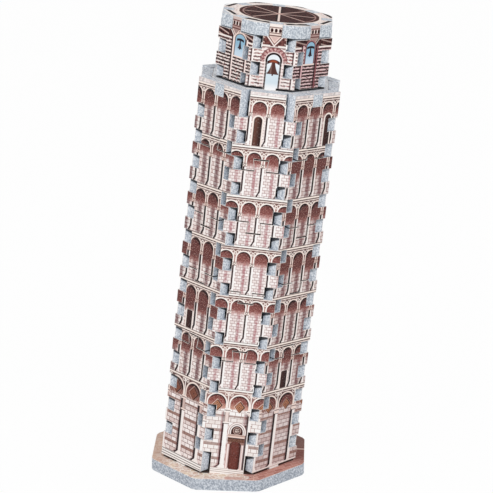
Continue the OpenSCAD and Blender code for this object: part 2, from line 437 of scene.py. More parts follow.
def groundFloor(u, v, g, tone, left, right):
    bay, radius = wallLook["groundBay"], wallLook["groundRadius"]
    across = minus(wrap(g, bay), bay / 2)
    c = minus(wrap(plus(g, bay / 2), bay), bay / 2)
    gap = size(c)
    rise = times(minus(v, wallLook["groundSpring"]), minus(1.0, times(left, 0.14)))
    ring = hypot(across, most(rise, 0.0))
    ragged = times(minus(grainOf(pair(u, v), 0.9, 3.0, 0.6), 0.5), 3.0)
    sideways = times(across, minus(1.0, times(right, 2.0)))

    # three stone courses, then one dark band, over and over
    layer = wrap(minus(v, 8.35), 7.5)
    row = calc("FLOOR", calc("DIVIDE", minus(v, 8.35), 7.5))
    laid = pair(plus(u, times(row, 1.1)), layer)
    pale = courses(laid, 3.0, 2.07, 0.17, (255, 252, 250), (240, 230, 225), (178, 148, 142))
    dusk = courses(laid, 3.4, 2.07, 0.22, (255, 246, 243), (226, 204, 199), (138, 102, 98))
    colour = shade(paint(pale, dusk, tone), (146, 102, 100), right, 0.31)
    colour = shade(colour, (194, 154, 152), fade(ragged, 0.1, 1.4), plus(0.45, times(tone, 0.25)))
    brown = paint((180, 144, 132), (122, 84, 76), fade(ragged, -0.8, 0.8))
    thinner = most(fade(v, 29.0, 28.8), fade(layer, 6.5, 6.75))
    bands = least(fade(layer, 6.05, 6.3), fade(v, 31.2, 30.9), thinner)
    colour = shade(colour, brown, bands, plus(0.8, times(tone, 0.18)))

    # blind arches with a lozenge in each
    fillInk = paint((204, 150, 134), (138, 74, 66), fade(plus(rise, times(ragged, 0.5)), -2.6, 1.0))
    fillInk = paint(fillInk, (104, 50, 46), fade(plus(rise, times(ragged, 0.4)), 1.2, 4.0))
    fillInk = shade(fillInk, (84, 38, 38), tone, 0.55)
    slash = near(wrap(plus(across, rise), 1.7), 0.85, 0.3, 0.2)
    fillInk = shade(fillInk, (48, 20, 22), slash, times(tone, 0.5))
    fleck = fade(grainOf(pair(u, v), 1.9, 2.0), 0.54, 0.64)
    fillInk = shade(fillInk, (240, 200, 188), fleck, minus(0.45, times(tone, 0.15)))
    fill = least(fade(ring, radius + 0.08, radius - 0.08), fade(plus(rise, times(ragged, 0.8)), -3.6, -2.4))
    colour = paint(colour, fillInk, fill)
    rim = least(near(ring, radius - 0.25, 0.4), fade(plus(rise, times(sideways, 0.4)), 0.6, 2.2))
    colour = shade(colour, (44, 18, 20), rim, 0.95)
    corner = fade(plus(rise, times(sideways, 0.6)), 1.4, 3.2)
    deep = least(near(ring, radius - 0.5, 0.55, 0.2), corner, tone)
    colour = shade(colour, (26, 10, 12), deep, 0.9)
    x = minus(across, 0.2)
    y = minus(v, plus(35.6, times(left, 1.6)))
    diamond = plus(calc("DIVIDE", size(x), 2.55), calc("DIVIDE", size(y), 3.1))
    diamond = times(diamond, minus(1.0, times(left, 0.16)))
    colour = shade(colour, (250, 220, 204), fade(diamond, 1.14, 1.08), minus(0.9, times(tone, 0.5)))
    colour = paint(colour, (110, 58, 44), fade(diamond, 1.0, 0.94))
    coreTone = plus(ragged, minus(times(tone, 1.6), times(right, 1.3)))
    core = paint((198, 140, 106), (124, 76, 62), fade(coreTone, -0.6, 1.2))
    colour = paint(colour, core, fade(diamond, 0.84, 0.78))
    colour = shade(colour, (126, 72, 50), near(diamond, 0.45, 0.08, 0.05), 0.8)
    colour = shade(colour, (78, 38, 30), fade(diamond, 0.16, 0.1), 0.9)
    darkSide = least(near(diamond, 0.95, 0.12, 0.05), fade(x, 0.0, 0.5))
    colour = shade(colour, (50, 22, 20), darkSide, 0.95)

    # spandrels and arch bands
    above = least(fade(ring, radius + 0.6, radius + 0.8), fade(rise, 0.2, 0.6))
    colour = shade(colour, paint((146, 104, 96), (88, 52, 48), tone), above, 0.94)
    leaf = near(hypot(minus(gap, 1.2), minus(rise, 4.7)), 0.7, 0.22, 0.15)
    spray = near(minus(gap, times(minus(rise, 4.2), 1.1)), 0.0, 0.3, 0.15)
    line = near(rise, 5.75, 0.25)
    colour = shade(colour, (254, 240, 232), least(most(leaf, spray, line), above), 0.85)
    post = least(fade(gap, 0.75, 0.6), between(rise, -2.3, 2.6))
    colour = shade(colour, paint((160, 116, 108), (100, 62, 58), tone), post, 0.9)
    colour = paint(colour, (254, 244, 238), least(near(c, -0.15, 0.26, 0.1), between(rise, -2.3, 6.0)))
    band = least(near(ring, radius + 0.3, 0.33, 0.1), fade(rise, -2.6, -2.3))
    colour = paint(colour, paint((255, 246, 240), (248, 228, 218), tone), band)

    # half columns: pale shaft, collars, a foot, and a shadow on the left
    tall = least(fade(v, 2.7, 3.0), fade(v, 32.6, 32.2))
    under = minus(v, times(right, 5.0))
    upper = least(fade(gap, 0.95, 0.8), between(v, 26.6, 32.6), flip(right))
    colour = paint(colour, paint((238, 220, 214), (214, 186, 178), tone), upper)
    sides = least(near(gap, 0.9, 0.14, 0.1), between(v, 26.6, 32.6), flip(right))
    colour = shade(colour, (140, 98, 92), sides, 0.8)
    flare = times(fade(v, 4.9, 2.9), 1.1)
    shaft = least(fade(minus(gap, flare), 1.02, 0.88), fade(v, 2.5, 2.7), fade(under, 26.8, 26.6))
    colour = paint(colour, paint((255, 253, 251), (255, 247, 243), tone), shaft)
    thin = least(near(minus(c, flare), 1.15, 0.16, 0.1), fade(under, 26.6, 26.4))
    colour = shade(colour, (202, 158, 152), thin, 0.6)
    bend = times(fade(v, 4.8, 2.6), 1.8)
    off = plus(plus(c, bend), minus(1.5, times(tone, 0.25)))
    blush = least(near(off, -0.6, 0.5, 0.5), tall)
    colour = shade(colour, paint((158, 96, 98), (120, 66, 68), tone), blush, minus(0.65, times(tone, 0.1)))
    dark = least(fade(calc("DIVIDE", size(off), plus(0.42, times(tone, 0.18))), 1.25, 0.8), tall)
    weight = minus(0.98, times(least(fade(v, 26.4, 26.8), flip(tone)), 0.5))
    colour = shade(colour, paint((60, 22, 28), (28, 8, 12), tone), dark, weight)
    for height, half, at in ((34.0, 0.36, v), (32.75, 0.3, v), (27.0, 0.36, under)):
        collar = least(fade(gap, 1.6, 1.4), near(at, height, half, 0.1))
        colour = paint(colour, paint((255, 246, 240), (248, 226, 216), tone), collar)
    for height, at in ((33.42, v), (26.45, under)):
        colour = shade(colour, (84, 46, 44), least(fade(gap, 1.6, 1.3), near(at, height, 0.2, 0.1)), 0.85)
    return colour


def frontDoor(colour, u, v, mask):
    x = minus(u, 2.9)
    side = size(x)
    colour = paint(colour, (250, 236, 232), least(fade(side, 4.15, 4.0), between(v, 2.5, 20.0), mask))
    for at, ink in ((-1.2, (206, 160, 156)), (-0.05, (186, 134, 128)), (6.1, (220, 176, 172))):
        colour = shade(colour, ink, least(near(u, at, 0.2), between(v, 3.0, 16.4), mask), 0.8)
    corbel = least(fade(side, 4.1, 3.95), between(v, 15.9, 17.4), mask)
    colour = shade(colour, (150, 104, 90), corbel, 0.9)
    lintel = least(fade(side, 4.25, 4.1), between(v, 17.1, 19.4), mask)
    grain = grainOf(pair(times(u, 1.2), times(v, 1.2)), 1.3)
    colour = paint(colour, paint((132, 92, 76), (92, 56, 46), fade(grain, 0.35, 0.65)), lintel)
    colour = shade(colour, (42, 20, 16), least(near(v, 19.15, 0.26), lintel), 0.9)
    outline = plus(plus(side, times(most(minus(v, 15.9), 0.0), 0.8)), times(most(minus(3.5, v), 0.0), 0.8))
    leaf = least(fade(outline, 2.8, 2.6), between(v, 2.5, 17.2), mask)
    wood = fade(grainOf(pair(times(u, 3.0), times(v, 0.5)), 1.4), 0.35, 0.7)
    leafInk = paint((122, 66, 58), (96, 48, 42), wood)
    leafInk = paint(leafInk, (74, 32, 28), fade(x, 0.6, 2.8))
    colour = paint(colour, leafInk, leaf)
    panel = least(near(size(minus(wrap(minus(v, 2.9), 6.9), 3.45)), 2.95, 0.14), fade(side, 2.2, 2.0))
    panel = most(panel, least(near(side, 2.1, 0.12), between(v, 3.3, 16.0)))
    colour = shade(colour, (60, 26, 22), least(panel, leaf), 0.6)
    colour = shade(colour, (50, 22, 20), least(near(outline, 2.62, 0.2), between(v, 2.5, 17.0), mask), 0.85)

    # shade beside the half column at the right
    beside = least(between(u, 6.85, 7.95, 0.15), between(v, 2.8, 31.5), mask)
    colour = shade(colour, paint((112, 76, 78), (40, 20, 24), fade(u, 6.9, 7.6)), beside, 0.95)
    shaft = least(between(u, 7.95, 9.2), between(v, 2.8, 31.0), mask)
    colour = paint(colour, (255, 250, 248), shaft)

    # lunette over the door with a small rosette
    over = least(fade(v, 21.1, 21.3), mask)
    shelf = least(fade(side, 4.2, 4.0), between(v, 19.5, 21.3), mask)
    colour = paint(colour, paint((214, 184, 172), (244, 218, 206), near(v, 19.85, 0.3)), shelf)
    colour = shade(colour, (140, 98, 88), least(near(v, 20.55, 0.14), shelf), 0.7)
    ring = hypot(x, times(most(minus(v, 22.4), 0.0), 0.86))
    colour = paint(colour, (176, 138, 130), least(fade(ring, 4.6, 4.45), over))
    colour = paint(colour, (253, 244, 240), least(fade(ring, 4.4, 4.25), over))
    colour = shade(colour, (104, 66, 60), least(near(ring, 3.55, 0.16, 0.1), over), 0.85)
    colour = paint(colour, (62, 28, 24), least(fade(ring, 2.95, 2.8), over))
    bloom = hypot(x, minus(v, 23.2))
    colour = shade(colour, (226, 192, 180), least(near(bloom, 1.75, 0.18), over, fade(ring, 2.8, 2.6)), 0.7)
    petal = fade(grainOf(pair(u, v), 1.6, 2.0), 0.4, 0.56)
    colour = shade(colour, (236, 214, 204), least(fade(bloom, 1.3, 0.9), petal, mask), 0.9)
    return colour


def plinthOf(colour, v, upright, left, right):
    foot = most(fade(v, 2.75, 2.6), fade(upright, 1.9, 1.75))
    colour = paint(colour, (254, 250, 247), foot)
    even = minus(1.0, most(left, right))
    thin = most(near(v, 1.75, 0.13, 0.1), near(v, 0.75, 0.13, 0.1), near(v, 2.65, 0.13, 0.1))
    colour = shade(colour, (142, 118, 112), least(thin, foot), times(even, 0.8))
    lines = near(wrap(plus(v, 0.725), 1.25), 0.625, 0.17, 0.1)
    colour = shade(colour, (52, 30, 30), least(lines, fade(v, 3.0, 2.8)), times(left, 0.95))
    return shade(colour, (186, 150, 142), near(upright, 1.1, 0.15, 0.1), times(right, 0.8))


def makeWallPrint():
    finish = newFinish("wallPrint")
    u, v = mapOf("print")
    a, face = mapOf("arcade")
    upright, g = mapOf("rise")
    tone = wrap(face, 2.0)
    front = fade(face, 0.5, 0.4)
    left = near(face, 7.0, 0.4)
    right = near(face, 1.0, 0.4)
    colour, storey, w = loggias(u, v, a, tone, left, right)

    # pale strip along the top of the walls
    colour = shade(colour, (246, 238, 236), fade(v, tower["wallTop"] - 1.7, tower["wallTop"] - 1.45), 0.62)

    # the few dark doorways, each on one face and storey
    warm, dim = (104, 66, 56), (62, 34, 30)
    for side, number, middle, half, high, arched, glow in (
            (front, 5, -3.4, 1.9, 12.8, True, warm), (right, 5, 8.2, 1.9, 14.1, True, dim),
            (right, 0, -0.9, 2.0, 9.5, False, dim), (left, 1, -4.6, 1.95, 9.7, False, dim)):
        mask = least(side, near(storey, number, 0.4))
        colour = doorway(colour, u, w, middle, half, high, arched, glow, mask)
    mask = least(near(face, 4.0, 0.4), near(wrap(storey, 2.0), 1.0, 0.4))
    colour = doorway(colour, u, w, 0.6, 1.75, 11.0, True, warm, mask)

    ground = groundFloor(u, v, g, tone, left, right)
    ground = frontDoor(ground, u, v, front)
    ground = plinthOf(ground, v, upright, left, right)
    below = fade(v, wallLook["groundTop"] - 0.5, wallLook["groundTop"] - 0.6)
    colour = paint(speckle(colour, u, v, 0.3), speckle(ground, u, v, 0.2), below)
    closeFinish(colour, 0.55, 0.15)
    return finish


belfryLook = {
    "high": 25.0, "half": 3.0, "spring": 13.8, "ring": 3.1,
    "sideLow": 13.0, "sideSpring": 20.7, "sideHalf": 2.65, "row": 1.55,
    "middle": {"front": 0.6, "front_right": -1.9, "front_left": 3.5},
}


def bellOn(colour, x, v, top, tall, half, ink, glowInk):
    # a round-shouldered bell under its yoke
    t = calc("DIVIDE", minus(top, v), tall)
    wide = plus(half * 0.3, times(calc("POWER", most(t, 0.0), 1.7), half * 0.7))
    body = least(fade(minus(size(x), wide), 0.12, -0.12), between(t, 0.0, 1.0, 0.03))
    lip = least(fade(size(x), half + 0.25, half + 0.05), between(t, 0.92, 1.04, 0.03))
    drop = least(fade(size(x), 0.45, 0.3), between(t, 1.0, 1.16, 0.03))
    glow = paint(ink, glowInk, least(near(x, -0.35 * half, 0.3, 0.3), body))
    return paint(colour, glow, most(body, lip, drop))


def makeBelfryPrint():
    finish = newFinish("belfryPrint")
    u, high = mapOf("print")
    a, face = mapOf("arcade")
    v = minus(high, tower["wallTop"])
    odd = wrap(face, 2.0)
    even = flip(odd)
    dim = near(face, 1.0, 0.4)

    # brick courses, broken into pale, red and dark bars
    pitch = belfryLook["row"]
    wobble = times(minus(grainOf(pair(u, v), 0.6, 2.0), 0.5), 0.9)
    row = wrap(plus(v, wobble), pitch)
    brick = courses(pair(u, v), 2.4, pitch, 0.26, (236, 200, 194), (186, 124, 120), (255, 248, 244))
    dusk = courses(pair(u, v), 2.6, pitch, 0.2, (150, 86, 84), (92, 44, 46), (250, 230, 222))
    colour = shade(paint(brick, dusk, odd), (84, 38, 44), dim, 0.6)
    dash = fade(plus(grainOf(pair(times(u, 0.7), times(v, 1.3)), 1.0, 2.0), times(odd, 0.04)), 0.4, 0.5)
    white = least(near(row, 0.36, 0.36, 0.14), fade(grainOf(pair(times(u, 0.6), v), 1.1), 0.36, 0.48))
    whiteInk = paint(paint((255, 248, 244), (255, 242, 236), odd), (246, 212, 212), dim)
    colour = shade(colour, whiteInk, white, minus(0.96, times(dim, 0.08)))
    dark = least(fade(minus(size(minus(row, 1.1)), times(odd, 0.1)), 0.47, 0.21), dash)
    colour = shade(colour, paint((62, 24, 28), (32, 11, 14), odd), dark, plus(0.84, times(odd, 0.13)))
    colour = shade(colour, (250, 232, 228), least(fade(size(a), 5.9, 5.5), even), 0.25)
    colour = speckle(colour, u, v, 0.35)

    # frieze under the roof: dark patches and a chevron of pale lines
    frieze = fade(v, 20.4, 20.7)
    blotch = fade(grainOf(pair(u, v), 0.7), 0.4, 0.62)
    redPatch = paint((80, 42, 40), (126, 78, 72), blotch)
    darkPatch = paint((40, 16, 17), (90, 50, 47), blotch)
    colour = paint(colour, paint(redPatch, darkPatch, odd), frieze)
    slant = minus(times(size(u), 1.2), minus(v, 20.4))
    peak = least(fade(slant, -2.1, -2.5), frieze)
    colour = shade(colour, (232, 200, 192), peak, minus(0.85, times(odd, 0.4)))
    for offset, ink in ((-0.4, (254, 240, 234)), (-1.9, (246, 220, 210))):
        line = least(near(slant, offset, 0.46, 0.14), fade(v, 20.2, 20.6))
        colour = shade(colour, ink, line, minus(0.92, times(dim, 0.42)))
    streak = near(wrap(plus(v, times(u, 0.25)), 2.2), 1.1, 0.3, 0.15)
    streak = least(streak, frieze, fade(size(u), 4.4, 4.8))
    colour = shade(colour, (236, 206, 196), streak, minus(0.75, times(dim, 0.3)))
    colour = shade(colour, (254, 244, 238), least(near(v, 20.7, 0.34), fade(size(u), 1.6, 2.0)), 0.9)
    colour = shade(colour, (84, 40, 40), near(v, 20.0, 0.2), 0.7)

    # roof tab: dark marks in a row between thin lines
    tab = fade(v, belfryLook["high"] - 0.1, belfryLook["high"] + 0.1)
    colour = paint(colour, paint((244, 224, 214), (150, 100, 98), times(odd, 0.7)), tab)
    cell = minus(wrap(plus(u, 0.95), 1.9), 0.95)
    mark = hypot(calc("DIVIDE", minus(cell, 0.15), 0.72), calc("DIVIDE", minus(v, 27.95), 0.95))
    colour = paint(colour, (52, 22, 22), least(fade(mark, 1.1, 0.85), tab))
    stroke = least(near(cell, -0.75, 0.3), between(v, 27.2, 28.9), tab)
    colour = paint(colour, (250, 236, 228), stroke)
    for height, half in ((29.35, 0.2), (26.7, 0.22), (25.5, 0.3)):
        colour = shade(colour, (92, 46, 44), least(near(v, height, half, 0.1), tab), 0.9)
    colour = paint(colour, (250, 240, 234), least(fade(v, 29.6, 29.8), tab, flip(times(odd, 0.6))))
    sides = least(near(size(u), 2.85, 0.2, 0.1), tab, fade(v, 29.4, 29.2))
    colour = shade(colour, (60, 28, 28), sides, 0.8)

    # tall opening of the even faces, with its arch ring
    half, spring = belfryLook["half"], belfryLook["spring"]
    rim = half + belfryLook["ring"]
    lift = most(minus(v, spring), 0.0)
    ring = hypot(a, lift)
    arch = paint((168, 112, 112), (224, 186, 182), fade(grainOf(pair(a, v), 0.9, 2.0), 0.4, 0.6))
    crown = least(fade(ring, rim + 0.1, rim - 0.1), fade(v, spring - 0.2, spring), even)
    colour = paint(colour, arch, crown)
    wedge = near(wrap(calc("ARCTAN2", a, most(lift, 0.01)), 0.32), 0.16, 0.05, 0.03)
    wedge = least(wedge, between(ring, half + 1.2, rim), fade(v, spring, spring + 0.3), even)
    colour = shade(colour, (116, 62, 62), wedge, 0.75)
    line = least(near(ring, rim, 0.22, 0.1), fade(v, spring, spring + 0.3), even)
    colour = shade(colour, (120, 70, 68), line, 0.8)
    colour = shade(colour, (250, 232, 228), least(near(ring, half + 1.05, 0.24, 0.1), even), 0.8)
    weight = fade(v, spring - 2.0, spring + 0.6)
    black = calc("DIVIDE", size(minus(ring, half + 0.3)), plus(0.36, times(weight, 0.2)))
    colour = shade(colour, (18, 6, 8), least(fade(black, 1.25, 0.8), even), plus(0.88, times(weight, 0.1)))
    sky = paint((238, 244, 248), (219, 233, 241), fade(v, 13.0, 7.0))
    sky = paint(sky, (255, 255, 255), fade(v, 4.0, 0.5))
    colour = paint(colour, sky, least(fade(ring, half, half - 0.15), even))
    bow = plus(v, times(times(a, a), 0.12))
    yoke = least(near(bow, spring - 0.1, 0.75), fade(size(a), 2.95, 2.75), even)
    colour = paint(colour, paint((156, 76, 50), (56, 28, 26), fade(size(a), 0.8, 2.4)), yoke)
    colour = shade(colour, (62, 28, 26), least(near(bow, spring + 0.47, 0.16, 0.1), yoke), 0.9)
    bell = bellOn(colour, a, v, 13.2, 5.5, 2.6, (86, 54, 48), (128, 100, 92))
    colour = paint(colour, bell, even)

    # shorter opening of the odd faces over a brick parapet
    half, spring, low = belfryLook["sideHalf"], belfryLook["sideSpring"], belfryLook["sideLow"]
    wider = minus(1.0, times(near(face, 7.0, 0.4), 0.2))
    ring = hypot(times(a, wider), most(minus(v, spring), 0.0))
    inside = least(fade(v, low - 0.1, low + 0.1), odd)
    surround = least(fade(ring, half + 0.95, half + 0.75), inside)
    colour = paint(colour, paint((248, 226, 216), (176, 122, 124), dim), surround)
    colour = shade(colour, (40, 18, 24), least(near(ring, half + 0.12, 0.26), inside), 0.85)
    air = paint((150, 190, 214), (206, 224, 240), fade(v, 19.0, 14.0))
    colour = paint(colour, air, least(fade(ring, half, half - 0.2), inside))
    bar = least(near(plus(v, times(times(a, a), 0.08)), 20.9, 0.55, 0.15), fade(size(a), 2.5, 2.3), inside)
    colour = paint(colour, (34, 22, 30), bar)
    bell = bellOn(colour, a, v, 20.4, 3.6, 1.2, (38, 26, 34), (70, 54, 62))
    colour = paint(colour, bell, inside)
    sill = least(near(v, low - 0.35, 0.35), fade(size(a), 4.6, 4.4), odd)
    colour = paint(colour, (248, 226, 218), sill)

    # slim pilasters beside the openings, and a pale foot line
    for at, dimInk in ((-4.5, (222, 180, 182)), (4.75, (132, 76, 80))):
        tall = least(fade(v, 22.0, 21.5), odd)
        colour = paint(colour, paint((252, 232, 226), dimInk, dim), least(near(a, at, 0.45), tall))
        colour = shade(colour, (44, 14, 20), least(near(a, at - 0.95, 0.45, 0.14), tall), 0.95)
    for at in (-9.35, 10.05):
        tall = least(fade(v, 20.0, 19.6), even)
        colour = paint(colour, (255, 246, 242), least(near(u, at, 0.4, 0.1), tall))
        colour = shade(colour, (62, 24, 30), least(near(u, at - 0.75, 0.32), tall), 0.9)
    foot = least(fade(v, 0.85, 0.7), most(odd, fade(size(a), 3.6, 3.8)))
    colour = paint(colour, (252, 238, 232), foot)
    closeFinish(colour, 0.55, 0.15)
    return finish


roofLook = {
    "disc": 20.0, "spokes": 8, "shift": (0.7, 0.6),
    "rim": 24.4, "rimHalf": 0.95, "rimLong": 6.6, "rimShift": (0.7, 2.2),
}


def makeRoofPrint():
    finish = newFinish("roofPrint")
    x, y = mapOf("print")
    mottle = grainOf(pair(x, y), 0.9, 3.0)
    colour = paint((255, 247, 244), (232, 208, 200), fade(mottle, 0.4, 0.62))

    # printed rim: dark bars from tab to tab, a white line, and plain paper outside
    across = minus(x, roofLook["rimShift"][0])
    along = minus(y, roofLook["rimShift"][1])
    cosine, sine = math.cos(math.pi / 8), math.sin(math.pi / 8)
    turnedX = plus(times(across, cosine), times(along, sine))
    turnedY = minus(times(along, cosine), times(across, sine))
    reach, turn = eightSided(turnedX, turnedY)
    sector = minus(wrap(plus(turn, math.pi / 8), math.pi / 4), math.pi / 8)
    run = times(hypot(turnedX, turnedY), calc("SINE", sector))
    ahead = fade(size(along), 15.5, 18.0)
    half = plus(roofLook["rimHalf"], times(ahead, 0.75))
    beyond = minus(minus(reach, roofLook["rim"]), times(ahead, 0.9))
    paper = paint((236, 240, 244), (190, 198, 208), fade(grainOf(pair(x, y), 1.15, 3.0, 0.7), 0.62, 0.4))
    colour = paint(colour, shade(paper, (255, 250, 247), ahead, 0.85), fade(minus(beyond, half), 0.8, 1.1))
    colour = paint(colour, (255, 250, 247), between(minus(beyond, half), 0.0, 1.0))
    bar = fade(calc("DIVIDE", size(beyond), half), 1.15, 0.85)
    bar = least(bar, fade(size(run), roofLook["rimLong"] + 0.3, roofLook["rimLong"] - 0.3))
    colour = shade(colour, paint((10, 3, 4), (40, 18, 18), fade(mottle, 0.42, 0.62)), bar, 0.98)

    # dark floor inside the parapet, with eight ribs
    x = times(minus(x, roofLook["shift"][0]), 1.06)
    y = times(minus(y, roofLook["shift"][1]), 0.97)
    reach, turn = eightSided(x, y)
    ring = hypot(x, y)
    disc = roofLook["disc"]
    floor = least(fade(reach, disc + 0.15, disc - 0.15), fade(ring, disc + 0.4, disc + 0.1))
    colour = paint(colour, (255, 240, 232), fade(reach, disc + 1.1, disc + 0.9))
    colour = paint(colour, paint((22, 9, 9), (78, 44, 40), fade(size(x), 9.0, 17.0)), floor)
    ground = paint((84, 46, 44), (34, 15, 15), fade(mottle, 0.38, 0.6))
    colour = paint(colour, ground, fade(ring, disc - 0.6, disc - 0.9))
    groove = least(near(ring, disc - 1.8, 0.34), fade(size(x), 8.0, 12.0))
    colour = shade(colour, (206, 166, 158), groove, 0.6)
    step = 2 * math.pi / roofLook["spokes"]
    ray = minus(wrap(plus(turn, step / 2), step), step / 2)
    off = times(ring, calc("SINE", ray))
    inside = fade(reach, disc - 1.6, disc - 2.0)
    colour = shade(colour, (22, 6, 8), least(near(off, 0.95, 0.55, 0.2), inside), 0.8)
    colour = shade(colour, (226, 190, 180), least(near(off, 0.0, 0.45, 0.14), inside), 0.92)
    broad = least(near(x, 0.0, 0.5, 0.14), fade(ring, disc - 1.0, disc - 1.4))
    colour = paint(colour, (254, 232, 222), broad)
    colour = paint(colour, (214, 172, 162), fade(ring, 1.5, 1.2))
    closeFinish(colour, 0.6, 0.03)
    return finish


def makePavingPrint(name, pale):
    finish = newFinish(name)
    x, y = mapOf("print")
    mottle = grainOf(pair(x, y), 0.55, 3.0, 0.6)
    tilt = plus(times(x, 0.82), times(y, 0.57))
    cross = minus(times(y, 0.82), times(x, 0.57))
    cells = addNode("ShaderNodeTexVoronoi", feature="DISTANCE_TO_EDGE")
    feed(cells.inputs["Vector"], pair(x, times(y, 1.3)))
    cells.inputs["Scale"].default_value = 0.27
    joint = fade(cells.outputs["Distance"], 0.1, 0.03)
    if pale:
        colour = paint((248, 232, 222), (214, 182, 166), fade(mottle, 0.36, 0.62))
        colour = shade(colour, (246, 230, 200), fade(grainOf(pair(x, y), 0.2, 1.0), 0.52, 0.64), 0.45)
        colour = shade(colour, (255, 250, 242), joint, 0.8)
        colour = shade(colour, (204, 166, 146), fade(x, -27.0, -34.0), 0.6)
        blush = least(between(x, -0.5, 9.0, 0.6), fade(y, -34.3, -35.0))
        colour = shade(colour, (214, 170, 160), blush, 0.8)
    else:
        laid = pair(tilt, cross)
        bricks = courses(laid, 4.6, 2.4, 0.2, (206, 150, 138), (178, 118, 108), (222, 184, 172))
        colour = shade(bricks, (246, 214, 200), least(joint, fade(x, 17.0, 11.0)), 0.8)
        colour = shade(colour, (118, 74, 70), fade(y, -20.0, -4.0), 0.8)
        colour = shade(colour, (136, 110, 104), fade(y, 2.5, 4.5), 0.6)
        paleJoint = least(near(y, 2.1, 0.6, 0.2), fade(x, 29.0, 31.0))
        colour = shade(colour, (236, 214, 204), paleJoint, 0.9)
    colour = speckle(colour, x, y, 0.3)
    # painted shade: a dark ring on the base top under the tower walls, in place of the shade in that joint
    reach = eightSided(x, minus(y, tower["back"]))[0]
    colour = shade(colour, (66, 50, 46), between(reach, 27.6, 32.4, 0.15), 0.92)
    closeFinish(colour, 0.65, 0.03)
    return finish


foamWall = makeFoam("foamWall")
foamPlate = makeFoam("foamPlate")
foamGallery = makeFoam("foamGallery")
foamRoof = makeFoam("foamRoof")
cardEdge = makeCardEdge()
seamShade = makeSeamShade()
wallPrint = makeWallPrint()
belfryPrint = makeBelfryPrint()
roofPrint = makeRoofPrint()
palePaving = makePavingPrint("palePaving", True)
redPaving = makePavingPrint("redPaving", False)
print("finishes written")

# soft edges of the die-cut board, in millimetres, and how far pieces stand apart
cut = {
    "round": 0.12, "steps": 2, "open": 0.22, "notch": 0.2, "touch": 0.05, "foot": 1.0, "underRoof": 0.55,
    "knobEnd": 5.475, "knobHalf": 4.5, "fingersFrom": {"tower": 8.4, "belfry": 6.4},
}

# finger steps from the wall top down to the four seams, in the even and in the odd walls
seamSteps = ((21.3, 15.6, 10.0, 6.0), (20.9, 14.8, 10.3, 5.0))

# materials of a board, in the order of its slots
boardSlot = {"print": 0, "edge": 1, "foam": 2, "seam": 3}

# where the print sits on a face: column, its drift with height, stretch; ground column, stretch; tilt
printPlace = {
    "front": (1.08, -0.0021, 1.0, -2.8, 1.0, 0.0),
    "front_right": (3.6, -0.0033, 1.006, -2.9, 0.944, 0.0),
    "front_left": (-0.7, -0.0092, 0.933, -2.3, 0.887, 0.045),
    "other": (1.08, 0.0, 1.0, -2.8, 1.0, 0.0),
}
driftFrom = 110


def faceFrame(index):
    return Matrix.Rotation(math.radians(-45 * index), 4, "Z") @ unlean


def drawBack(face, amount):
    for v in face.verts:
        v.co -= face.normal * amount * mm


def openJoints(bm, toBoard, body, odd):
    # seams, notch sides, the feet of the odd walls and the belfry's feet stand open by a hair
    turn = toBoard.to_3x3()
    wallTop, reach = tower["wallTop"], cut["fingersFrom"][body]
    foot, top = (0.0, wallTop) if body == "tower" else (wallTop, tower["belfryTop"])
    seams = [wallTop - step * tower["fingerStep"] for step in seamSteps[odd]]
    hidden = []
    for f in bm.faces:
        middle = toBoard @ f.calc_center_median() / mm
        world = f.calc_center_median().z / mm - tower["foam"]
        facing = turn @ f.normal
        finger = abs(middle.x) > reach and foot + 3 < middle.z < top - 1
        toSeam = min(abs(middle.z - z) for z in seams)
        knobEnd = abs(middle.x) < cut["knobHalf"] and abs(toSeam - cut["knobEnd"]) < 0.15
        notchSide = middle.x * facing.x > 0 and abs(facing.x) > 0.99 and abs(abs(middle.x) - reach) < 1
        if abs(facing.z) > 0.98 and body == "tower" and (toSeam < 0.05 or knobEnd):
            drawBack(f, cut["open"])
            hidden.append(f)
        elif facing.z < -0.9999 and finger:
            drawBack(f, cut["touch"])
        elif not odd and notchSide:
            drawBack(f, cut["notch"])
        elif odd and body == "tower" and f.normal.z < -0.9999 and abs(world) < 0.05:
            drawBack(f, cut["foot"])
        elif body == "belfry" and facing.z < -0.9999 and abs(middle.z - foot) < 0.05:
            drawBack(f, cut["foot"])
        elif body == "belfry" and odd and facing.z > 0.9999 and abs(middle.z - top) < 0.05:
            drawBack(f, cut["underRoof"])
    return hidden


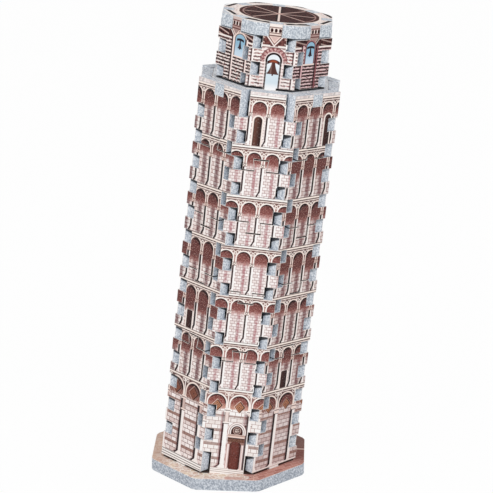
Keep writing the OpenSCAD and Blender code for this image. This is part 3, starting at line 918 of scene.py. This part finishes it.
def layBoard(node, body, toBoard, printFinish, place=printPlace["other"], faceIndex=0):
    bm = bmesh.new()
    bm.from_mesh(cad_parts[node].data)
    bmesh.ops.remove_doubles(bm, verts=bm.verts, dist=0.002 * mm)
    bmesh.ops.dissolve_limit(bm, angle_limit=math.radians(0.5), verts=bm.verts, edges=bm.edges,
                             delimit=set())
    bm.normal_update()
    turn = toBoard.to_3x3()
    upright = "wall" in node or "panel" in node
    hidden = openJoints(bm, toBoard, body, faceIndex % 2) if upright else []
    for f in bm.faces:
        f.material_index = boardSlot["print"] if (turn @ f.normal).y < -0.98 else boardSlot["foam"]
    for f in hidden:
        f.material_index = boardSlot["seam"]
    sharp = [e for e in bm.edges if len(e.link_faces) == 2 and e.calc_face_angle() > math.radians(30)]
    bmesh.ops.bevel(bm, geom=sharp, offset=cut["round"] * mm, offset_type="OFFSET", affect="EDGES",
                    segments=cut["steps"], profile=0.5, material=-1, clamp_overlap=True)
    bm.normal_update()
    printMap = bm.loops.layers.uv.new("print")
    arcadeMap = bm.loops.layers.uv.new("arcade")
    riseMap = bm.loops.layers.uv.new("rise")
    column, drift, stretch, ground, groundStretch, tilt = place
    printedAt = tower["across"] / 2 - (tower["belfryIn"] if body == "belfry" else 0.0)
    for f in bm.faces:
        facing = (turn @ f.normal).y
        if facing > -0.98 and f.material_index == boardSlot["print"] or -0.98 < facing < -0.2:
            f.material_index = boardSlot["edge"]
        lowered = fingerShade["clear"] if upright and (turn @ f.normal).z > 0.98 else 0.0
        for loop in f.loops:
            flat = toBoard @ loop.vert.co / mm
            bay = (flat.x - column - drift * (flat.z - driftFrom)) * stretch
            if f.material_index == boardSlot["foam"]:
                bay = flat.y + printedAt  # bare foam reads its depth behind the print here
            rise = loop.vert.co.z / mm - tower["foam"]
            loop[printMap].uv = (flat.x / 100, (flat.z - lowered - tilt * flat.x) / 100)
            loop[arcadeMap].uv = (bay / 100, faceIndex / 100)
            loop[riseMap].uv = (rise / 100, (flat.x - ground) * groundStretch / 100)
    mesh = bpy.data.meshes.new(node + "_board")
    bm.to_mesh(mesh)
    bm.free()
    piece = bpy.data.objects.new(node + "_board", mesh)
    bpy.context.scene.collection.objects.link(piece)
    plain = foamPlate if body == "base" else foamRoof
    finishes = (printFinish, cardEdge, foamWall, seamShade) if upright else (printFinish, cardEdge, plain)
    for finish in finishes:
        mesh.materials.append(finish)
    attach(piece, body)
    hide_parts(node)
    return piece


for index, name in enumerate(tower["faces"]):
    place = printPlace.get(name, printPlace["other"])
    for number in range(1, 6):
        node = f"{name}_wall_{number}"
        layBoard(node, "tower", faceFrame(index), wallPrint, place, index)
print("walls laid")

for index, name in enumerate(tower["faces"]):
    middle = belfryLook["middle"].get(name, 0.0)
    layBoard(f"{name}_belfry_panel", "belfry", faceFrame(index), belfryPrint,
             (middle, 0.0, 1.0, 0.0, 1.0, 0.0), index)
print("belfry laid")

upToFront = Matrix.Rotation(math.radians(90), 4, "X")
layBoard("gallery_plate", "tower", upToFront @ unlean, foamGallery)
layBoard("roof_plate", "roof", upToFront @ unlean, roofPrint)
layBoard("base_left", "base", upToFront, palePaving)
layBoard("base_right", "base", upToFront, redPaving)
print("plates laid")

# camera solved from the photo, in millimetres, degrees and pixels
view = {"azimuth": 1.874, "elevation": 17.44, "roll": 1.197, "distance": 911.0, "focal": 1864.3,
        "target": (6.58, 0.0, 113.2), "picture": 493, "sensor": 36.0}


def placeCamera():
    a, e, r = (math.radians(view[k]) for k in ("azimuth", "elevation", "roll"))
    back = Vector((math.sin(a) * math.cos(e), -math.cos(a) * math.cos(e), math.sin(e)))
    right = Vector((math.cos(a), math.sin(a), 0))
    up = right.cross(-back)
    tiltRight = math.cos(r) * right + math.sin(r) * up
    tiltUp = math.cos(r) * up - math.sin(r) * right
    spot = (Vector(view["target"]) + back * view["distance"]) * mm
    lens = bpy.data.cameras.new("photoCamera")
    lens.sensor_width = view["sensor"]
    lens.lens = view["focal"] / view["picture"] * view["sensor"]
    lens.clip_start = 0.01
    lens.clip_end = 20.0
    camera = bpy.data.objects.new("photoCamera", lens)
    camera.matrix_world = Matrix.Translation(spot) @ Matrix((tiltRight, tiltUp, back)).transposed().to_4x4()
    bpy.context.scene.collection.objects.link(camera)
    bpy.context.scene.camera = camera


placeCamera()

# light levels, and where the two lamps stand and aim, in metres
studio = {"world": 0.63, "left": 7.1, "right": 6.6, "aside": 0.983, "spot": (-1.131, 0.92), "wide": 1.0,
          "aim": (0, 0, 0.11), "floor": 6.0}


def lamp(name, aside, power):
    light = bpy.data.lights.new(name, "AREA")
    light.energy = power
    light.size = studio["wide"]
    spot = Vector((aside, *studio["spot"]))
    holder = bpy.data.objects.new(name, light)
    holder.location = spot
    holder.rotation_euler = (Vector(studio["aim"]) - spot).to_track_quat("-Z", "Y").to_euler()
    bpy.context.scene.collection.objects.link(holder)


def makeStudio():
    world = bpy.data.worlds.new("studio")
    bpy.context.scene.world = world
    world.use_nodes = True
    press["tree"] = world.node_tree
    press["tree"].nodes.clear()
    ray = addNode("ShaderNodeLightPath")
    kinds = ("Is Camera Ray", "Is Glossy Ray", "Is Transmission Ray")
    seen = most(*(ray.outputs[kind] for kind in kinds))
    lit = addNode("ShaderNodeBackground")
    lit.inputs["Color"].default_value = (1, 1, 1, 1)
    lit.inputs["Strength"].default_value = studio["world"]
    white = addNode("ShaderNodeBackground")
    white.inputs["Color"].default_value = (1, 1, 1, 1)
    choose = addNode("ShaderNodeMixShader")
    feed(choose.inputs[0], seen)
    feed(choose.inputs[1], lit.outputs[0])
    feed(choose.inputs[2], white.outputs[0])
    out = addNode("ShaderNodeOutputWorld")
    feed(out.inputs[0], choose.outputs[0])
    lamp("leftLamp", -studio["aside"], studio["left"])
    lamp("rightLamp", studio["aside"], studio["right"])
    bm = bmesh.new()
    bmesh.ops.create_grid(bm, x_segments=2, y_segments=2, size=studio["floor"])
    mesh = bpy.data.meshes.new("floor")
    bm.to_mesh(mesh)
    bm.free()
    floor = bpy.data.objects.new("floor", mesh)
    bpy.context.scene.collection.objects.link(floor)
    finish = newFinish("paleFloor")
    ray = addNode("ShaderNodeLightPath")
    matt = addNode("ShaderNodeBsdfDiffuse")
    matt.inputs["Color"].default_value = (0.85, 0.85, 0.85, 1)
    glow = addNode("ShaderNodeEmission")
    choose = addNode("ShaderNodeMixShader")
    feed(choose.inputs[0], times(ray.outputs["Is Camera Ray"], 0.97))
    feed(choose.inputs[1], matt.outputs[0])
    feed(choose.inputs[2], glow.outputs[0])
    out = addNode("ShaderNodeOutputMaterial")
    feed(out.inputs[0], choose.outputs[0])
    mesh.materials.append(finish)


makeStudio()
print("camera and lights placed")
bpy.context.scene.view_settings.view_transform = "Standard"
